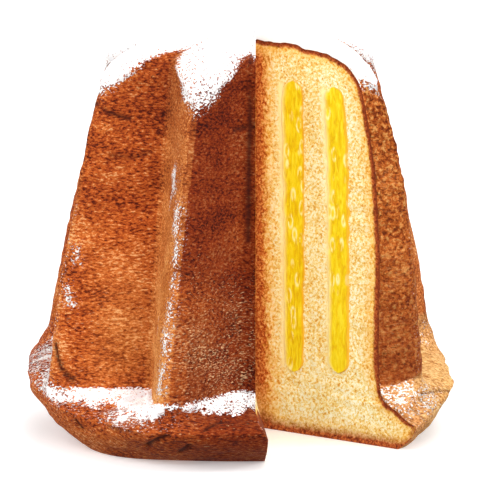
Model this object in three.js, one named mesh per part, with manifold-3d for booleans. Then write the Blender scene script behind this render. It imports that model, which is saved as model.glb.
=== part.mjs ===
// A pandoro, the tall star-shaped Italian sweet bread, with one wedge cut out and taken away.
// Millimetres, +Z up. The bread stands on its flat base, and the cut opens towards -Y and +X.
//
// Angles are in degrees, seen from above, from the front (-Y) towards the right (+X).
// The star has eight ridges that taper upwards. Below it a wide foot bulges out all round, and on
// top the ridges round over into a low crown. The two cut faces meet on an upright line, the point
// of the wedge, a little to the right of the star's axis.

import * as THREE from 'three';
import { mergeVertices } from 'three/addons/utils/BufferGeometryUtils.js';
import Module from 'manifold-3d';

// ---- Driving dimensions ----

// The star's axis, set so that the origin is below the middle of the bread.
const AXIS = { x: -0.92, y: -0.7 };

const CROWN_HEIGHT = 214.5; // crust at the axis
const RIDGE_RADIUS_BOTTOM = 131;
const RIDGE_RADIUS_TOP = 79;
const VALLEY_SHARE_BOTTOM = 0.575; // radius of a valley over the radius of a ridge
const VALLEY_SHARE_TOP = 0.69;
const RIDGE_ROUNDING = 0.1; // radians over which a ridge is rounded
const VALLEY_ROUNDING = 0.06;

// Each ridge: its direction at the bottom and at the top, and how far it reaches there.
const RIDGES = [
  { bottom: -154, top: -152, reachBottom: 0.985, reachTop: 0.985 },
  { bottom: -108, top: -110, reachBottom: 0.95, reachTop: 0.93 },
  { bottom: -63.3, top: -64.2, reachBottom: 1.015, reachTop: 0.99 },
  { bottom: -20.8, top: -15.7, reachBottom: 1, reachTop: 1 },
  { bottom: 24.3, top: 26.5, reachBottom: 1, reachTop: 1 },
  { bottom: 69.3, top: 69.3, reachBottom: 0.98, reachTop: 1.015 },
  { bottom: 114, top: 112, reachBottom: 1.005, reachTop: 0.97 },
  { bottom: 160, top: 157, reachBottom: 1, reachTop: 1 },
];

// The crown that rounds the ridges over.
const CROWN_RADIUS = 120;
const CROWN_START = 120;
const CROWN_RISE_POWER = 2;
const CROWN_FALL_POWER = 3.85;
const CROWN_BLEND = 12;
// Beside the cut the crown is narrower and rounder.
const LOW_SIDE = { at: 56, spread: 22, radius: 101, fallPower: 3.7 };

// The foot: a rim that bulges out, a shelf that slopes up from it to the wall, and a rounded
// underside that runs in to the base.
const RIM_HEIGHT = 22;
const RIM_RADIUS_VALLEY = 113.5;
const RIM_RADIUS_RIDGE = 123;
const SHELF_HEIGHT = 36;
const SHELF_BEND = 1.5;
const SHELF_FALL = 3;
const BASE_RADIUS = 94;
const UNDERSIDE_POWER = 1.7;
// Where the foot differs: the direction, how far to each side, and how much the rim and the shelf
// lie higher and the rim and the base reach further out.
const FOOT_SWELLS = [
  { at: -95, spread: 34, rim: 15, shelf: 21, out: -0.4, base: -17 },
  { at: -76, spread: 12, rim: 1.6, shelf: 3, out: 2.3, base: -1 },
  { at: -64, spread: 12, rim: 0, shelf: -6, out: -10.7, base: 4 },
  { at: -45, spread: 18, rim: 0, shelf: -5, out: 3.6, base: 8 },
  { at: 0, spread: 40, rim: 0, shelf: 0, out: 0, base: -10 },
  { at: 58, spread: 17, rim: -9, shelf: -5, out: 0, base: 9 },
  { at: 67, spread: 11, rim: 0, shelf: 0, out: -7.3, base: 3 },
  { at: 90, spread: 13, rim: 0, shelf: 0, out: 4.7, base: 0 },
  { at: 106, spread: 28, rim: 8, shelf: 19, out: -3, base: -18 },
];

const LUMP_HEIGHT = 1.1; // slow unevenness of the crust

// The cut.
const POINT = { x: 9.3, y: 0 }; // the point of the wedge, from the axis
const RIGHT_CUT_BOTTOM = 54.4; // the right face twists a little on its way up
const RIGHT_CUT_TOP = 59.6;
const RIGHT_CUT_POWER = 1.1;
const LEFT_CUT_FLARE = 3.4; // the foot bulges out of the left face, to the right
const LEFT_FLARE_HEIGHT = 29;
const LEFT_FLARE_BLEND = 11; // height over which the bulge comes out

// The cream: two upright layers that follow the star round, from one cut face to the other. Each
// leans in as the ridges do: its taper scales its radius at the base and at the crown.
const CREAM_LAYERS = [
  { name: 'cream_inner', inValley: 24, onRidge: 32.5, low: 34, high: 194, taper: [1.09, 0.97] },
  { name: 'cream_outer', inValley: 46, onRidge: 65, low: 37, high: 193, taper: [1.125, 0.89] },
];
const CREAM_WIDTH = 13;

// The sugar.
const FIT_GAP = 0.3; // between pieces that lie on each other
const CAP_THICKNESS = 7.5;
const CAP_EDGE_THICKNESS = 1.2;
const CAP_TONGUE_HEIGHT = 195; // the cap's edge on a ridge
const CAP_VALLEY_HEIGHT = 213.3; // and in a valley
const CAP_EDGE_RAMP = 0.95; // share of the way up the cap where it is at full thickness
const CAP_ROW_POWER = 1.4; // crowds the cap's rows towards its edge
const DRIFT_THICKNESS = 3.6;
const DRIFT_EDGE_THICKNESS = 0.8;
// How steeply a drift thickens from its sides, from below and from above.
const DRIFT_SLOPES = { side: 4, below: 3, above: 2.5 };

// The grid of the crust.
const DOME_CENTRE = 150; // height on the wedge's point from which the dome is spread out
const STEEPEST_EDGE = 89; // the cap's edge is looked for below this elevation
const LONGEST_RAY = 200;
const COLUMNS_PER_SECTOR = 8;
const CUT_SIDE_SHARES = [0.35, 0.7]; // columns between the right cut face and the first ridge
const UNDERSIDE_STEPS = [0, 0.12, 0.38, 0.7];
const SHELF_STEPS = [0, 0.2, 0.4, 0.6, 0.8];
const WALL_ROWS = 6;
const BARE_DOME_ROWS = 5;
const CAP_ROWS = 7;
const CREAM_COLUMNS_PER_SECTOR = 6;
const CREAM_END_STEPS = 4;

const FIRST_SHELF_ROW = UNDERSIDE_STEPS.length;
const FIRST_WALL_ROW = FIRST_SHELF_ROW + SHELF_STEPS.length;
const FIRST_DOME_ROW = FIRST_WALL_ROW + WALL_ROWS;
const FIRST_CAP_ROW = FIRST_DOME_ROW + BARE_DOME_ROWS;
const ROW_COUNT = FIRST_CAP_ROW + CAP_ROWS;

// ---- Small helpers ----

const radians = (degrees) => (degrees * Math.PI) / 180;
const degrees = (angle) => (angle * 180) / Math.PI;
const mix = (from, to, share) => from + (to - from) * share;
const clamp = (value) => Math.min(Math.max(value, 0), 1);
const smooth = (share) => clamp(share) ** 2 * (3 - 2 * clamp(share));

function swell(angle, at, spread) {
  const away = ((((angle - at + 180) % 360) + 360) % 360) - 180;
  return Math.exp(-((away / spread) ** 2));
}

// A soft wave between two ridges: 1 on each of them, 0 in the valley.
const wave = (angle, low, high) => 0.5 + 0.5 * Math.cos((2 * Math.PI * (angle - low)) / (high - low));

// The last value, between 0 and the limit, for which a test still holds.
function lastInside(limit, inside) {
  let low = 0;
  let high = limit;
  for (let step = 0; step < 40; step += 1) {
    const middle = (low + high) / 2;
    if (inside(middle)) low = middle;
    else high = middle;
  }
  return low;
}

// ---- The shape of the whole bread, as a radius for each direction and height ----

function ridgeDirection(index, height) {
  const turns = Math.floor(index / RIDGES.length);
  const ridge = RIDGES[index - turns * RIDGES.length];
  return mix(ridge.bottom, ridge.top, clamp(height / CROWN_HEIGHT)) + 360 * turns;
}

function ridgeReach(index, height) {
  const ridge = RIDGES[index % RIDGES.length];
  return mix(ridge.reachBottom, ridge.reachTop, clamp(height / CROWN_HEIGHT));
}

// The two ridges that a direction lies between.
function sectorOf(angle, height) {
  const start = ridgeDirection(0, height);
  const turned = ((((angle - start) % 360) + 360) % 360) + start;
  let index = RIDGES.length - 1;
  while (index > 0 && ridgeDirection(index, height) > turned) index -= 1;
  return { index, turned, low: ridgeDirection(index, height), high: ridgeDirection(index + 1, height) };
}

// Each flank is straight from the ridge to the valley, and both corners are rounded.
function starRadius(angle, height) {
  const { index, turned, low, high } = sectorOf(angle, height);
  const up = clamp(height / CROWN_HEIGHT);
  const half = radians((high - low) / 2);
  const fromLow = radians(turned - low);
  const nearLow = fromLow < half;
  const fromRidge = nearLow ? fromLow : 2 * half - fromLow;
  const plain = mix(RIDGE_RADIUS_BOTTOM, RIDGE_RADIUS_TOP, up);
  const ridge = plain * ridgeReach(nearLow ? index : index + 1, height);
  const valley = plain * mix(VALLEY_SHARE_BOTTOM, VALLEY_SHARE_TOP, up);
  const rounded = (away) => {
    const onRidge = Math.hypot(away, RIDGE_ROUNDING);
    const inValley = Math.hypot(half - away, VALLEY_ROUNDING);
    return onRidge / (onRidge + inValley);
  };
  const along = (half * (rounded(fromRidge) - rounded(0))) / (rounded(half) - rounded(0));
  return (ridge * valley * Math.sin(half)) / (ridge * Math.sin(along) + valley * Math.sin(half - along));
}

function crownRadius(angle, height) {
  const up = clamp((height - CROWN_START) / (CROWN_HEIGHT - CROWN_START));
  const lowSide = swell(angle, LOW_SIDE.at, LOW_SIDE.spread);
  const radius = mix(CROWN_RADIUS, LOW_SIDE.radius, lowSide);
  const power = mix(CROWN_FALL_POWER, LOW_SIDE.fallPower, lowSide);
  return radius * (1 - up ** CROWN_RISE_POWER) ** (1 / power);
}

function lumps(angle, height) {
  const a = radians(angle);
  const h = height / CROWN_HEIGHT;
  const slow = Math.sin(3 * a + 5 * h) + Math.sin(5 * a - 9 * h + 1) + Math.sin(11 * a + 14 * h + 2);
  return (LUMP_HEIGHT * slow) / 3;
}

function wallRadius(angle, height) {
  const star = starRadius(angle, height);
  const crown = Math.max(crownRadius(angle, height), FIT_GAP);
  const narrower = (star ** -CROWN_BLEND + crown ** -CROWN_BLEND) ** (-1 / CROWN_BLEND);
  return narrower + lumps(angle, height) * clamp(narrower / RIDGE_RADIUS_TOP);
}

function footAt(angle) {
  const { index, turned, low, high } = sectorOf(angle, 0);
  const reach = ridgeReach(turned - low < high - turned ? index : index + 1, 0);
  const roundStar = mix(RIM_RADIUS_VALLEY, RIM_RADIUS_RIDGE * reach, wave(turned, low, high));
  const foot = {
    rimHeight: RIM_HEIGHT,
    shelfHeight: SHELF_HEIGHT,
    rimRadius: roundStar + lumps(angle, 0),
    baseRadius: BASE_RADIUS,
  };
  for (const place of FOOT_SWELLS) {
    const share = swell(angle, place.at, place.spread);
    foot.rimHeight += place.rim * share;
    foot.shelfHeight += place.shelf * share;
    foot.rimRadius += place.out * share;
    foot.baseRadius += place.base * share;
  }
  return foot;
}

function crustRadius(angle, height) {
  const foot = footAt(angle);
  if (height < foot.rimHeight) {
    const up = clamp(height / foot.rimHeight);
    return mix(foot.baseRadius, foot.rimRadius, 1 - (1 - up) ** UNDERSIDE_POWER);
  }
  const aboveShelf = Math.max(height - foot.shelfHeight, 0);
  const wall = Math.min(wallRadius(angle, height), foot.rimRadius + aboveShelf);
  const up = clamp((height - foot.rimHeight) / (foot.shelfHeight - foot.rimHeight));
  return wall + Math.max(foot.rimRadius - wall, 0) * (1 - up ** SHELF_BEND) ** SHELF_FALL;
}

// ---- Places on the crust, seen from the point of the wedge ----

function placeOf(x, y, height) {
  const reach = Math.hypot(x - POINT.x, y - POINT.y);
  return { x, y, z: height, reach, toX: (x - POINT.x) / reach, toY: (y - POINT.y) / reach };
}

const directionOf = (x, y) => degrees(Math.atan2(x, -y));

function insideCrust(x, y, height) {
  return height < CROWN_HEIGHT && Math.hypot(x, y) < crustRadius(directionOf(x, y), height);
}

function rightCut(height) {
  return mix(RIGHT_CUT_BOTTOM, RIGHT_CUT_TOP, clamp(height / DOME_CENTRE) ** RIGHT_CUT_POWER);
}

function leftCut(height) {
  return LEFT_CUT_FLARE * smooth((LEFT_FLARE_HEIGHT - height) / LEFT_FLARE_BLEND);
}

// Where a ray from the point of the wedge leaves the crust: level, or up at an elevation.
function crustFromPoint(toX, toY, height, elevation = 0) {
  const out = Math.cos(elevation);
  const up = Math.sin(elevation);
  const inside = (s) => insideCrust(POINT.x + s * out * toX, POINT.y + s * out * toY, height + s * up);
  const s = lastInside(LONGEST_RAY, inside);
  return placeOf(POINT.x + s * out * toX, POINT.y + s * out * toY, height + s * up);
}

// Where a cut face reaches the crust.
function cutEdge(cut, height) {
  const angle = radians(cut(height));
  return crustFromPoint(Math.sin(angle), -Math.cos(angle), height);
}

function cutDirection(cut, height) {
  const edge = cutEdge(cut, height);
  return directionOf(edge.x, edge.y);
}

// The columns of the grid run round from the right cut face to the left one, and follow the
// ridges and valleys, so that both stay sharp.
function gridColumns() {
  const columns = [{ cut: rightCut, near: cutDirection(rightCut, 0) }];
  const firstRidge = 5;
  const lastRidge = RIDGES.length + 3;
  for (const share of CUT_SIDE_SHARES) {
    const from = (height) => mix(cutDirection(rightCut, height), ridgeDirection(firstRidge, height), share);
    columns.push({ from, near: from(0) });
  }
  const addColumn = (ridge, share) => {
    const from = (height) => mix(ridgeDirection(ridge, height), ridgeDirection(ridge + 1, height), share);
    columns.push({ from, near: from(0), ridge, share });
  };
  for (let ridge = firstRidge; ridge < lastRidge; ridge += 1) {
    for (let step = 0; step < COLUMNS_PER_SECTOR; step += 1) addColumn(ridge, step / COLUMNS_PER_SECTOR);
  }
  for (let step = 0; step * 2 < COLUMNS_PER_SECTOR; step += 1) {
    addColumn(lastRidge, step / COLUMNS_PER_SECTOR);
  }
  columns.push({ cut: leftCut, near: cutDirection(leftCut, 0) });
  return columns;
}

function placeOnColumn(column, height) {
  if (column.cut) return cutEdge(column.cut, height);
  const angle = column.from(height);
  const radius = crustRadius(angle, height);
  return placeOf(radius * Math.sin(radians(angle)), -radius * Math.cos(radians(angle)), height);
}

// How near a direction is to a ridge: 1 on it, 0 in a valley.
function nearRidge(angle) {
  const { turned, low, high } = sectorOf(angle, CROWN_HEIGHT);
  return Math.abs((2 * (turned - low)) / (high - low) - 1);
}

// The elevation, seen from the centre of the dome, at which a column reaches the cap's edge.
function capEdge(side) {
  const edgeHeight = mix(CAP_VALLEY_HEIGHT, CAP_TONGUE_HEIGHT, nearRidge(directionOf(side.x, side.y)));
  const below = (elevation) => domePlace(side, elevation).z < edgeHeight;
  return lastInside(STEEPEST_EDGE, below);
}

function domePlace(side, elevation) {
  return crustFromPoint(side.toX, side.toY, DOME_CENTRE, radians(elevation));
}

function crustColumn(column) {
  const foot = footAt(column.near);
  const heights = UNDERSIDE_STEPS.map((step) => step * foot.rimHeight);
  for (const step of SHELF_STEPS) heights.push(mix(foot.rimHeight, foot.shelfHeight, step));
  for (let row = 0; row < WALL_ROWS; row += 1) {
    heights.push(mix(foot.shelfHeight, DOME_CENTRE, row / WALL_ROWS));
  }
  const places = heights.map((height) => placeOnColumn(column, height));
  const side = placeOnColumn(column, DOME_CENTRE);
  const edge = capEdge(side);
  for (let row = 0; row < BARE_DOME_ROWS + CAP_ROWS; row += 1) {
    const bare = row / BARE_DOME_ROWS;
    const capped = Math.max((row - BARE_DOME_ROWS) / CAP_ROWS, 0) ** CAP_ROW_POWER;
    places.push(domePlace(side, row < BARE_DOME_ROWS ? edge * bare : mix(edge, 90, capped)));
  }
  return places;
}

// ---- Meshes ----

function geometryOf(points, faces) {
  const flat = points.flatMap((p) => [AXIS.x + p.x, AXIS.y + p.y, p.z]);
  const geometry = new THREE.BufferGeometry();
  geometry.setAttribute('position', new THREE.Float32BufferAttribute(flat, 3));
  geometry.setIndex(faces.flat());
  return geometry;
}

// The whole bread without the wedge, as one closed mesh.
function breadGeometry(grid) {
  const points = grid.flat();
  const last = grid.length - 1;
  const at = (column, row) => column * ROW_COUNT + row;
  const pointLine = points.length;
  for (let row = 0; row < ROW_COUNT; row += 1) {
    points.push({ ...POINT, z: (grid[0][row].z + grid[last][row].z) / 2 });
  }
  const top = points.length;
  points.push({ ...POINT, z: lastInside(CROWN_HEIGHT, (height) => insideCrust(POINT.x, POINT.y, height)) });
  const faces = [];
  for (let column = 0; column < last; column += 1) {
    faces.push([pointLine, at(column + 1, 0), at(column, 0)]);
    for (let row = 0; row + 1 < ROW_COUNT; row += 1) {
      faces.push([at(column, row), at(column + 1, row), at(column + 1, row + 1)]);
      faces.push([at(column, row), at(column + 1, row + 1), at(column, row + 1)]);
    }
    faces.push([at(column, ROW_COUNT - 1), at(column + 1, ROW_COUNT - 1), top]);
  }
  for (let row = 0; row + 1 < ROW_COUNT; row += 1) {
    const line = pointLine + row;
    faces.push([line, at(0, row), at(0, row + 1)], [line, at(0, row + 1), line + 1]);
    faces.push([line, at(last, row + 1), at(last, row)], [line, line + 1, at(last, row + 1)]);
  }
  faces.push([top - 1, at(0, ROW_COUNT - 1), top], [top - 1, top, at(last, ROW_COUNT - 1)]);
  return geometryOf(points, faces);
}

// A thin skin that lies on part of the grid: a sheet a little above the crust, and a second one
// over it, joined all round.
function skinGeometry(grid, columns, rows, thicknessAt, pole) {
  const points = [];
  const faces = [];
  const width = rows.to - rows.from + 1;
  const count = columns.to - columns.from + 1;
  const sheetSize = width * count + (pole ? 1 : 0);
  for (const isOuter of [false, true]) {
    for (let column = columns.from; column <= columns.to; column += 1) {
      for (let row = rows.from; row <= rows.to; row += 1) {
        const lift = FIT_GAP + (isOuter ? thicknessAt(column, row) : 0);
        points.push(lifted(grid[column], row, lift));
      }
    }
    if (pole) points.push({ ...POINT, z: pole + FIT_GAP + (isOuter ? CAP_THICKNESS : 0) });
  }
  const inner = (column, row) => column * width + row;
  const outer = (column, row) => sheetSize + inner(column, row);
  const quad = (a, b, c, d) => faces.push([a, b, c], [a, c, d]);
  const innerTop = sheetSize - 1;
  const outerTop = 2 * sheetSize - 1;
  const high = width - 1;
  const end = count - 1;
  for (let column = 0; column < end; column += 1) {
    const next = column + 1;
    for (let row = 0; row < high; row += 1) {
      quad(outer(column, row), outer(next, row), outer(next, row + 1), outer(column, row + 1));
      quad(inner(column, row), inner(column, row + 1), inner(next, row + 1), inner(next, row));
    }
    quad(inner(column, 0), inner(next, 0), outer(next, 0), outer(column, 0));
    if (pole) {
      faces.push([outer(column, high), outer(next, high), outerTop]);
      faces.push([inner(next, high), inner(column, high), innerTop]);
    } else {
      quad(outer(column, high), outer(next, high), inner(next, high), inner(column, high));
    }
  }
  for (let row = 0; row < high; row += 1) {
    quad(inner(0, row), outer(0, row), outer(0, row + 1), inner(0, row + 1));
    quad(inner(end, row), inner(end, row + 1), outer(end, row + 1), outer(end, row));
  }
  if (pole) {
    quad(inner(0, high), outer(0, high), outerTop, innerTop);
    quad(outer(end, high), inner(end, high), innerTop, outerTop);
  }
  return geometryOf(points, faces);
}

// A place on a column moved off the crust, square to it in the column's own upright plane.
function lifted(places, row, lift) {
  const before = places[Math.max(row - 1, 0)];
  const after = places[Math.min(row + 1, places.length - 1)];
  const place = places[row];
  const slope = Math.hypot(after.z - before.z, after.reach - before.reach);
  const out = (after.z - before.z) / slope;
  const up = (before.reach - after.reach) / slope;
  return {
    x: place.x + place.toX * out * lift,
    y: place.y + place.toY * out * lift,
    z: place.z + up * lift,
  };
}

function sugarCapGeometry(grid) {
  const thicknessAt = (column, row) => {
    const up = (row - FIRST_CAP_ROW) / (CAP_ROWS * CAP_EDGE_RAMP);
    return mix(CAP_EDGE_THICKNESS, CAP_THICKNESS, smooth(up));
  };
  const rows = { from: FIRST_CAP_ROW, to: ROW_COUNT - 1 };
  const pole = lastInside(CROWN_HEIGHT, (height) => insideCrust(POINT.x, POINT.y, height));
  return skinGeometry(grid, { from: 0, to: grid.length - 1 }, rows, thicknessAt, pole);
}

// Sugar that has drifted into a valley and lies there on the shelf of the foot.
function sugarDriftGeometry(grid, columns) {
  const rows = { from: FIRST_SHELF_ROW + 1, to: FIRST_WALL_ROW };
  const thicknessAt = (column, row) => {
    const across = (column - columns.from) / (columns.to - columns.from);
    const along = (row - rows.from) / (rows.to - rows.from);
    const fromLeft = columns.openStart ? 1 : clamp(DRIFT_SLOPES.side * across);
    const fromRight = columns.openEnd ? 1 : clamp(DRIFT_SLOPES.side * (1 - across));
    const fromEnds = clamp(DRIFT_SLOPES.below * along) * clamp(DRIFT_SLOPES.above * (1 - along));
    return mix(DRIFT_EDGE_THICKNESS, DRIFT_THICKNESS, smooth(fromLeft * fromRight * fromEnds));
  };
  return skinGeometry(grid, columns, rows, thicknessAt, 0);
}

// The columns that each drift covers: the two beside the cut end in its faces.
function driftSpans(columns) {
  const ridgeColumns = columns.flatMap((column, index) => (column.share === 0 ? [index] : []));
  const spans = [{ from: 0, to: ridgeColumns[0] - 1, openStart: true }];
  for (const start of ridgeColumns.slice(0, -1)) {
    spans.push({ from: start + 2, to: start + COLUMNS_PER_SECTOR - 2 });
  }
  spans.push({ from: ridgeColumns.at(-1) + 1, to: columns.length - 1, openEnd: true });
  return spans;
}

// One layer of cream as a closed ring that waves with the star, and wider by a clearance where
// it has to make room.
function creamRingGeometry(layer, clearance) {
  const middle = CREAM_WIDTH / 2;
  const half = middle + clearance;
  const section = [];
  for (const end of [-1, 1]) {
    const height = end < 0 ? layer.low + middle : layer.high - middle;
    for (let step = 0; step <= CREAM_END_STEPS; step += 1) {
      const turn = (Math.PI * step) / CREAM_END_STEPS;
      section.push({ out: -end * Math.cos(turn) * half, up: height + end * Math.sin(turn) * half });
    }
  }
  const points = [];
  const faces = [];
  const count = RIDGES.length * CREAM_COLUMNS_PER_SECTOR;
  for (let column = 0; column < count; column += 1) {
    const sector = Math.floor(column / CREAM_COLUMNS_PER_SECTOR);
    const share = column / CREAM_COLUMNS_PER_SECTOR - sector;
    const angle = mix(ridgeDirection(sector, DOME_CENTRE), ridgeDirection(sector + 1, DOME_CENTRE), share);
    const radius = mix(layer.inValley, layer.onRidge, wave(share, 0, 1));
    const next = ((column + 1) % count) * section.length;
    section.forEach((corner, index) => {
      const leaning = mix(...layer.taper, clamp(corner.up / CROWN_HEIGHT));
      const reach = radius * leaning + corner.out;
      const turn = radians(angle);
      points.push({ x: reach * Math.sin(turn), y: -reach * Math.cos(turn), z: corner.up });
      const here = column * section.length;
      const following = (index + 1) % section.length;
      faces.push([here + index, next + following, next + index]);
      faces.push([here + index, here + following, next + following]);
    });
  }
  return geometryOf(points, faces);
}

// ---- Joining and cutting ----

const manifold = await Module();
manifold.setup();

function toSolid(geometry) {
  const bare = geometry.clone();
  bare.deleteAttribute('normal');
  bare.deleteAttribute('uv');
  const merged = mergeVertices(bare, 1e-5);
  return new manifold.Manifold(
    new manifold.Mesh({
      numProp: 3,
      vertProperties: new Float32Array(merged.attributes.position.array),
      triVerts: new Uint32Array(merged.index.array),
    }),
  );
}

function toGeometry(solid) {
  const mesh = solid.getMesh();
  const geometry = new THREE.BufferGeometry();
  geometry.setAttribute('position', new THREE.BufferAttribute(new Float32Array(mesh.vertProperties), 3));
  geometry.setIndex(new THREE.BufferAttribute(new Uint32Array(mesh.triVerts), 1));
  return geometry;
}

// ---- Materials ----

const crust = new THREE.MeshStandardMaterial({ color: 0xb5652b, roughness: 0.85, metalness: 0 });
const cream = new THREE.MeshStandardMaterial({ color: 0xf2c928, roughness: 0.45, metalness: 0 });
const sugar = new THREE.MeshStandardMaterial({ color: 0xf6f3ee, roughness: 0.95, metalness: 0 });

// ---- The pandoro ----

function namedMesh(name, geometry, material) {
  const finished = geometry.index ? geometry : mergeVertices(geometry);
  finished.computeVertexNormals();
  const mesh = new THREE.Mesh(finished, material);
  mesh.name = name;
  return mesh;
}

const group = new THREE.Group();
const columns = gridColumns();
const grid = columns.map(crustColumn);
const wholeBread = toSolid(breadGeometry(grid));
let bread = wholeBread;
for (const layer of CREAM_LAYERS) {
  const ring = toSolid(creamRingGeometry(layer, 0));
  group.add(namedMesh(layer.name, toGeometry(ring.intersect(wholeBread)), cream));
  bread = bread.subtract(toSolid(creamRingGeometry(layer, FIT_GAP)));
}
group.add(namedMesh('bread', toGeometry(bread), crust));
group.add(namedMesh('sugar_cap', sugarCapGeometry(grid), sugar));
driftSpans(columns).forEach((span, index) => {
  group.add(namedMesh(`sugar_drift_${index + 1}`, sugarDriftGeometry(grid, span), sugar));
});

export default group;
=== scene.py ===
"""The looks of a pandoro, a tall star-shaped sweet bread, with one wedge cut out and taken away.

Lengths are in millimetres until a mesh is made, +Z up, measured from the star's axis. Angles are
in degrees, seen from above, from the front (-Y) towards the right (+X). The sizes repeat those of
the solids, and each piece here lies where the solid that it replaces lies.
"""

import math

import bmesh
import bpy
import numpy as np
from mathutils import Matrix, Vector


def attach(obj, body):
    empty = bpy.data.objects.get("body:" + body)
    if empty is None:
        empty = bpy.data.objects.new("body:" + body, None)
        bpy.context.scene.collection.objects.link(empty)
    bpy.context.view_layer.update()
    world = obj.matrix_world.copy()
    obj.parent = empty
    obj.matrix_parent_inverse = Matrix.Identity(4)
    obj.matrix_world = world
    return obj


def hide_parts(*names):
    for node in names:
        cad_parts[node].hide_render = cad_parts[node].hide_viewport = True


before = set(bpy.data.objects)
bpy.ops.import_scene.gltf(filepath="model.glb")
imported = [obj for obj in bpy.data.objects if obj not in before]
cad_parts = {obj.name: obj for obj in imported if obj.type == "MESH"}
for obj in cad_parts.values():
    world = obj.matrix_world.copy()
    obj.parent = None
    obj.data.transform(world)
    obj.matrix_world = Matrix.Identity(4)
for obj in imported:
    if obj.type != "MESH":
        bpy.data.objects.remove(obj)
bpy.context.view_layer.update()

MM = 0.001  # metres in a millimetre

# ---- Driving sizes, the same as the solids' ----

AXIS = np.array([-0.92, -0.7, 0.0])
CROWN_HEIGHT = 214.5
RIDGE_RADIUS = (131, 79)  # at the bottom and at the top
VALLEY_SHARE = (0.575, 0.69)
RIDGE_ROUNDING = 0.1
VALLEY_ROUNDING = 0.06
RIDGE_BOTTOM = np.array([-154, -108, -63.3, -20.8, 24.3, 69.3, 114, 160])
RIDGE_TOP = np.array([-152, -110, -64.2, -15.7, 26.5, 69.3, 112, 157])
REACH_BOTTOM = np.array([0.985, 0.95, 1.015, 1, 1, 0.98, 1.005, 1])
REACH_TOP = np.array([0.985, 0.93, 0.99, 1, 1, 1.015, 0.97, 1])
RIDGE_COUNT = len(RIDGE_BOTTOM)

CROWN_RADIUS = 120
CROWN_START = 120
CROWN_RISE_POWER = 2
CROWN_FALL_POWER = 3.85
CROWN_BLEND = 12
# Beside the cut the crown is narrower and rounder.
LOW_SIDE = {"at": 56, "spread": 22, "radius": 101, "fall_power": 3.7}

RIM_HEIGHT = 22
RIM_RADIUS_VALLEY = 113.5
RIM_RADIUS_RIDGE = 123
SHELF_HEIGHT = 36
BASE_RADIUS = 94
UNDERSIDE_POWER = 1.7
SHELF_BEND = 1.5
SHELF_FALL = 3
# Where the foot stands higher, lower, further out or further in: a direction, how far to each
# side, and what is added to the rim's height, the shelf's height, the rim's and the base's radius.
FOOT_SWELLS = [
    (-95, 34, 15, 21, -0.4, -17),
    (-76, 12, 1.6, 3, 2.3, -1),
    (-64, 12, 0, -6, -10.7, 4),
    (-45, 18, 0, -5, 3.6, 8),
    (0, 40, 0, 0, 0, -10),
    (58, 17, -9, -5, 0, 9),
    (67, 11, 0, 0, -7.3, 3),
    (90, 13, 0, 0, 4.7, 0),
    (106, 28, 8, 19, -3, -18),
]
LUMP_HEIGHT = 1.1

POINT_X = 9.3  # the point of the wedge
RIGHT_CUT = (54.4, 59.6)
RIGHT_CUT_POWER = 1.1
LEFT_CUT_FLARE = 3.4
LEFT_FLARE_HEIGHT = 29
LEFT_FLARE_BLEND = 11
DOME_CENTRE = 150

# The layers' distance from the axis, their lower and upper end, and how they lean in.
CREAM_LAYERS = {
    "cream_inner": {"radius": (24, 32.5), "ends": (34, 194), "taper": (1.09, 0.97)},
    "cream_outer": {"radius": (46, 65), "ends": (37, 193), "taper": (1.125, 0.89)},
}
CREAM_WIDTH = 13

CAP_THICKNESS = 7.5
CAP_EDGE_THICKNESS = 1.2
CAP_RAMP = 48  # distance up from its edge over which the cap thickens
CAP_TONGUE_HEIGHT = 195
CAP_VALLEY_HEIGHT = 213.3

# ---- How finely the meshes are divided ----

FIRST_RIDGE = 5  # the first ridge after the cut
# Columns of each sector, from the right cut face round to the left one.
SECTOR_STEPS = [30, 60, 36, 32, 32, 40, 84, 70]
UNDERSIDE_ROWS = 19
UNDERSIDE_CROWDING = 1.3  # its rows lie closer together near the base
SHELF_ROWS = 20
WALL_ROWS = 56
DOME_ROWS = 72
FACE_STEPS = 62

SHELF_START = UNDERSIDE_ROWS
WALL_START = SHELF_START + SHELF_ROWS
DOME_START = WALL_START + WALL_ROWS


# ---- Small helpers ----


def mix(start, end, share):
    return start + (end - start) * share


def shares(count):
    """The shares of the way at the ends of that many equal steps, from 0 to 1."""
    return np.arange(count + 1) / count


def smooth(share):
    held = np.clip(share, 0, 1)
    return held * held * (3 - 2 * held)


def bell(away, spread):
    return np.exp(-((away / spread) ** 2))


def unit(vectors):
    length = np.linalg.norm(vectors, axis=-1, keepdims=True)
    return vectors / np.maximum(length, 1e-9)


def turn_between(angle, other):
    """How far apart two directions are, from -180 to 180."""
    return (angle - other + 180) % 360 - 180


NOISE_CELLS = 48


def noise(points, size, seed):
    """Smooth noise between about -1 and 1, with bumps as far apart as size."""
    values = np.random.default_rng(seed).uniform(-1, 1, (NOISE_CELLS,) * 3)
    places = points / size
    corner = np.floor(places).astype(int)
    blend = places - corner
    blend = blend * blend * (3 - 2 * blend)
    total = np.zeros(points.shape[:-1])
    for step in np.ndindex(2, 2, 2):
        weight = np.prod(np.where(step, blend, 1 - blend), -1)
        index = (corner + step) % NOISE_CELLS
        total += weight * values[index[..., 0], index[..., 1], index[..., 2]]
    return total


def halve(near, far, on_near_side, rounds):
    """Closes in on the place between near and far where the test for the near side ends."""
    for _ in range(rounds):
        middle = (near + far) / 2
        holds = on_near_side(middle)
        near = np.where(holds, middle, near)
        far = np.where(holds, far, middle)
    return near, far


# ---- The shape of the whole bread, as a radius for each direction and height ----


def up_share(height):
    return np.clip(height / CROWN_HEIGHT, 0, 1)


def ridge_direction(index, height):
    turns, ridge = divmod(index, RIDGE_COUNT)
    return mix(RIDGE_BOTTOM[ridge], RIDGE_TOP[ridge], up_share(height)) + 360 * turns


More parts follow.
